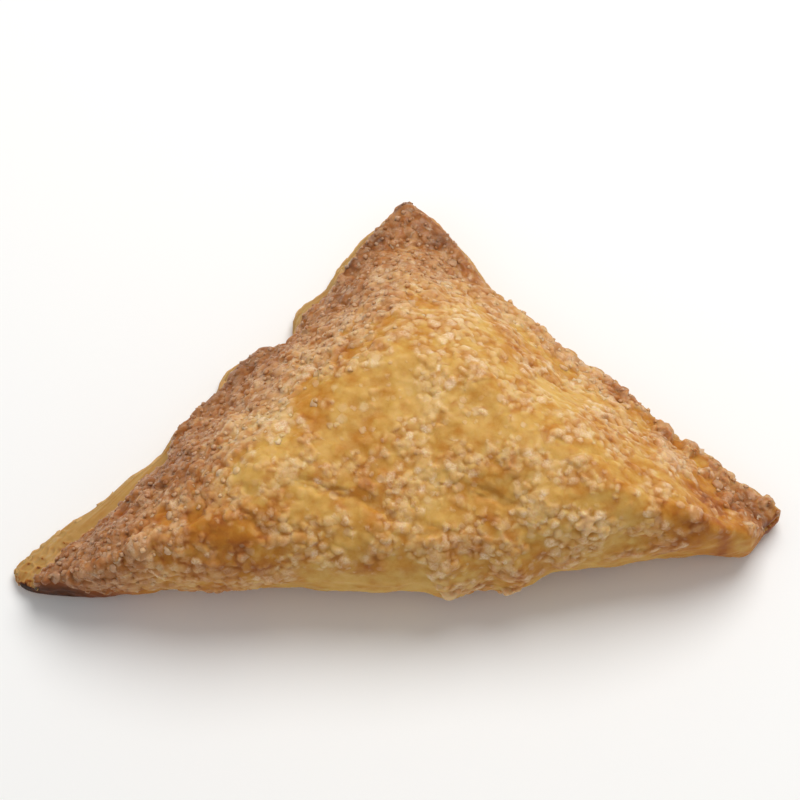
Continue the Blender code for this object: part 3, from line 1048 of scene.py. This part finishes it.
def addRelief(tree, surface, place, look, gloss, raised=None, rough=None):
    relief = groupNode(tree, fineRelief, place, Size=look["relief"], Pits=look["pits"])
    tree.links.new(ranged(tree, relief.outputs["Mask"], *gloss), surface.inputs["Roughness"])
    bump = addNode(tree, "ShaderNodeBump", Strength=look["bump"], Distance=look["bumpDepth"])
    height = relief.outputs["Height"]
    if rough:
        height = mathNode(tree, "MULTIPLY", height, ranged(tree, rough, 0.3, 1.0))
    tree.links.new(height, bump.inputs["Height"])
    tree.links.new(bump.outputs["Normal"], surface.inputs["Normal"])
    if raised:
        swell = addNode(tree, "ShaderNodeBump", Strength=0.6, Distance=0.00025)
        tree.links.new(raised, swell.inputs["Height"])
        tree.links.new(swell.outputs["Normal"], bump.inputs["Normal"])


# the white of the sugar, also used for the painted highlights on the lumps and the grains
sugarAndHighlightWhite = srgb(238, 215, 186)
crumbColour = srgb(142, 103, 66)
layerColour = srgb(188, 143, 98)
crustFinish = {
    "surface": {
        "Subsurface Weight": 0.75, "Subsurface Scale": 0.0018, "Subsurface Radius": (1.0, 0.6, 0.3),
        "Specular IOR Level": 0.12, "Coat Roughness": 0.18,
    },
    "mottle": 0.30,
    "largeCrystals": 400.0, "smallCrystals": 640.0, "glintSpeckle": 2300.0,
    # painted shade in the gaps between the crystals
    "gapShade": 0.07,
    "melted": 0.85, "crystalFrost": 0.45, "crystalWhite": 0.14,
    # painted highlights: the glint speckle's range and how white it paints the dome cores
    "glint": (0.36, 0.60), "white": (0.08, 0.74),
    "highlightFade": (1.2, 0.0),     # how much of the painted highlight stays on pale and on burnt crust
    "cutCrumb": 0.5,
    "coat": 0.30,
    "relief": 1100.0, "pits": 0.35, "gloss": (0.34, 0.64), "bump": 0.6, "bumpDepth": 0.0003,
}


def crustMaterial():
    look = crustFinish
    material, tree, surface = startMaterial("bakedCrust", look["surface"])
    place = addNode(tree, "ShaderNodeTexCoord")
    bake = ownValue(tree, "bake")
    sugar = ownValue(tree, "sugar")
    oven = groupNode(tree, ovenColour, place, Mottle=look["mottle"])
    cover = ownValue(tree, "cover")
    large = groupNode(tree, crystal, place, Size=look["largeCrystals"])
    small = groupNode(tree, crystal, place, Size=look["smallCrystals"])
    for cells in (large, small):
        tree.links.new(cover, cells.inputs["Cover"])
    crystals = mathNode(tree, "MAXIMUM", large.outputs["Mask"], small.outputs["Mask"])
    # painted shade: the gaps between the crystals made browner
    gaps = mathNode(tree, "MULTIPLY", large.outputs["Gap"], look["gapShade"])
    darker = mathNode(tree, "ADD", bake, gaps)
    tree.links.new(darker, oven.inputs["Bake"])
    melted = mathNode(tree, "MULTIPLY", sugar, look["melted"])
    frosted = mathNode(tree, "MAXIMUM", melted, mathNode(tree, "MULTIPLY", crystals, look["crystalFrost"]))
    # painted highlights: white glints on the dome cores, fading on browner crust, joined with the paler
    # crystals
    highlightCore = ownValue(tree, "highlightCore")
    glintSpeckle = groupNode(tree, fineRelief, place, Size=look["glintSpeckle"], Pits=0.5)
    glint = masked(tree, glintSpeckle.outputs["Mask"], *look["glint"])
    highlightAndCrystalWhite = mathNode(tree, "MULTIPLY", highlightCore, ranged(tree, glint, *look["white"]))
    highlightAndCrystalWhite = mathNode(tree, "MULTIPLY", highlightAndCrystalWhite, ranged(tree, bake, *look["highlightFade"]))
    highlightAndCrystalWhite = mathNode(tree, "MAXIMUM", highlightAndCrystalWhite, mathNode(tree, "MULTIPLY", crystals, look["crystalWhite"]))
    glazed = mixColours(tree, frosted, oven.outputs["Dough"], oven.outputs["Sugar"])
    sugarWithHighlight = mixColours(tree, highlightAndCrystalWhite, glazed, sugarAndHighlightWhite)
    cut = ownValue(tree, "cut")
    crumb = mixColours(tree, ranged(tree, cut, 0.0, look["cutCrumb"]), sugarWithHighlight, crumbColour)
    tree.links.new(crumb, surface.inputs["Base Color"])
    addRelief(tree, surface, place, look, look["gloss"], crystals, frosted)
    tree.links.new(ranged(tree, frosted, 0.0, look["coat"]), surface.inputs["Coat Weight"])
    return material


layerFinish = {
    "surface": {
        "Subsurface Weight": 0.15, "Subsurface Scale": 0.001, "Subsurface Radius": (1.0, 0.6, 0.3),
    },
    "mottle": 0.25, "tan": 0.5,
    "relief": 1500.0, "pits": 0.3, "gloss": (0.5, 0.75), "bump": 0.35, "bumpDepth": 0.0002,
}


def layerMaterial():
    look = layerFinish
    material, tree, surface = startMaterial("flakyLayers", look["surface"])
    place = addNode(tree, "ShaderNodeTexCoord")
    bake = ownValue(tree, "bake")
    oven = groupNode(tree, ovenColour, place, Mottle=look["mottle"])
    tree.links.new(bake, oven.inputs["Bake"])
    tanned = mixColours(tree, look["tan"], oven.outputs["Dough"], layerColour)
    tree.links.new(tanned, surface.inputs["Base Color"])
    addRelief(tree, surface, place, look, look["gloss"])
    return material


grainFinish = {
    "surface": {
        "Subsurface Weight": 0.7, "Subsurface Scale": 0.0010, "Subsurface Radius": (1.0, 0.8, 0.6),
        "Specular IOR Level": 0.30, "Coat Weight": 0.22, "Coat Roughness": 0.18,
    },
    "mottle": 0.15,
    "relief": 1800.0, "pits": 0.4, "bump": 0.3, "bumpDepth": 0.00015,
    # whiteness: how far the grains' upper parts go to white, partly painted highlight
    "coarse": {"whiteness": 0.40, "gloss": (0.24, 0.46)},
    "fine": {"whiteness": 0.28, "gloss": (0.30, 0.50)},
}


def sugarMaterial(name, whiteness, gloss):
    look = grainFinish
    material, tree, surface = startMaterial(name, look["surface"])
    place = addNode(tree, "ShaderNodeTexCoord")
    bake = ownValue(tree, "bake")
    tone = ownValue(tree, "tone")
    oven = groupNode(tree, ovenColour, place, Mottle=look["mottle"])
    tree.links.new(bake, oven.inputs["Bake"])
    # the grain's upper part paler as painted highlight, its lower edge in the crust's colour
    top = ownValue(tree, "top")
    topShare = ranged(tree, top, 0.15, 0.85)
    glazed = mixColours(tree, topShare, oven.outputs["Dough"], oven.outputs["Sugar"])
    share = mathNode(tree, "MULTIPLY", ranged(tree, tone, 0.0, whiteness), top)
    tree.links.new(mixColours(tree, share, glazed, sugarAndHighlightWhite), surface.inputs["Base Color"])
    addRelief(tree, surface, place, look, gloss)
    return material


crust.data.materials.append(crustMaterial())
layers.data.materials.append(layerMaterial())
coarse.data.materials.append(sugarMaterial("meltedCoarseSugar", **grainFinish["coarse"]))
fine.data.materials.append(sugarMaterial("fineSugar", **grainFinish["fine"]))

pieces = [crust, layers, coarse, fine]
for piece in pieces:
    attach(piece, "root")
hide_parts("turnover")
print("materials on", len(pieces), "pieces")


# floor, light and camera

studio = {
    "key": {"at": (190, 310, 690), "size": 560, "power": 4.7, "colour": (1.0, 0.985, 0.965)},
    "fill": {"at": (-600, -300, 520), "size": 600, "power": 0.3, "colour": (0.97, 0.98, 1.0)},
    "sky": 0.44,
    "floor": {"Base Color": srgb(248, 248, 247), "Roughness": 0.8, "Specular IOR Level": 0.2},
}
cameraLook = {
    "azimuth": -4.0, "elevation": 66.0, "distance": 750.0, "lens": 160.6,
    "aim": (2.06, -1.53), "aimHeight": 12.0,
}


def addFloor():
    bpy.ops.object.select_all(action="DESELECT")
    bpy.ops.mesh.primitive_plane_add(size=6.0, location=(0, 0, cadLow.z - 0.0001))
    floor = bpy.context.object
    floor.name = "studio_floor"
    floor.data.materials.append(startMaterial("paleFloor", studio["floor"])[0])


def addLight(name, look):
    lamp = bpy.data.lights.new(name, "AREA")
    lamp.shape = "DISK"
    lamp.size = look["size"] * mm
    lamp.energy = look["power"]
    lamp.color = look["colour"]
    light = bpy.data.objects.new(name, lamp)
    bpy.context.scene.collection.objects.link(light)
    light.location = Vector(look["at"]) * mm
    light.rotation_euler = (-light.location).to_track_quat("-Z", "Y").to_euler()


def addCamera():
    look = cameraLook
    azimuth, elevation = math.radians(look["azimuth"]), math.radians(look["elevation"])
    level = math.cos(elevation)
    forward = Vector((-math.sin(azimuth) * level, math.cos(azimuth) * level, -math.sin(elevation)))
    rightWay = Vector((math.cos(azimuth), math.sin(azimuth), 0))
    upWay = rightWay.cross(forward)
    aim = Vector((0, 0, look["aimHeight"])) + rightWay * look["aim"][0] + upWay * look["aim"][1]
    data = bpy.data.cameras.new("camera")
    data.lens = look["lens"]
    data.clip_start = 0.01
    camera = bpy.data.objects.new("camera", data)
    bpy.context.scene.collection.objects.link(camera)
    camera.location = (aim - forward * look["distance"]) * mm
    camera.rotation_euler = forward.to_track_quat("-Z", "Y").to_euler()
    bpy.context.scene.camera = camera


addFloor()
addLight("key_light", studio["key"])
addLight("fill_light", studio["fill"])
addCamera()
world = bpy.data.worlds.new("studio")
world.use_nodes = True
world.node_tree.nodes["Background"].inputs["Color"].default_value = (1.0, 1.0, 1.0, 1.0)
world.node_tree.nodes["Background"].inputs["Strength"].default_value = studio["sky"]
bpy.context.scene.world = world
bpy.context.scene.view_settings.view_transform = "Standard"
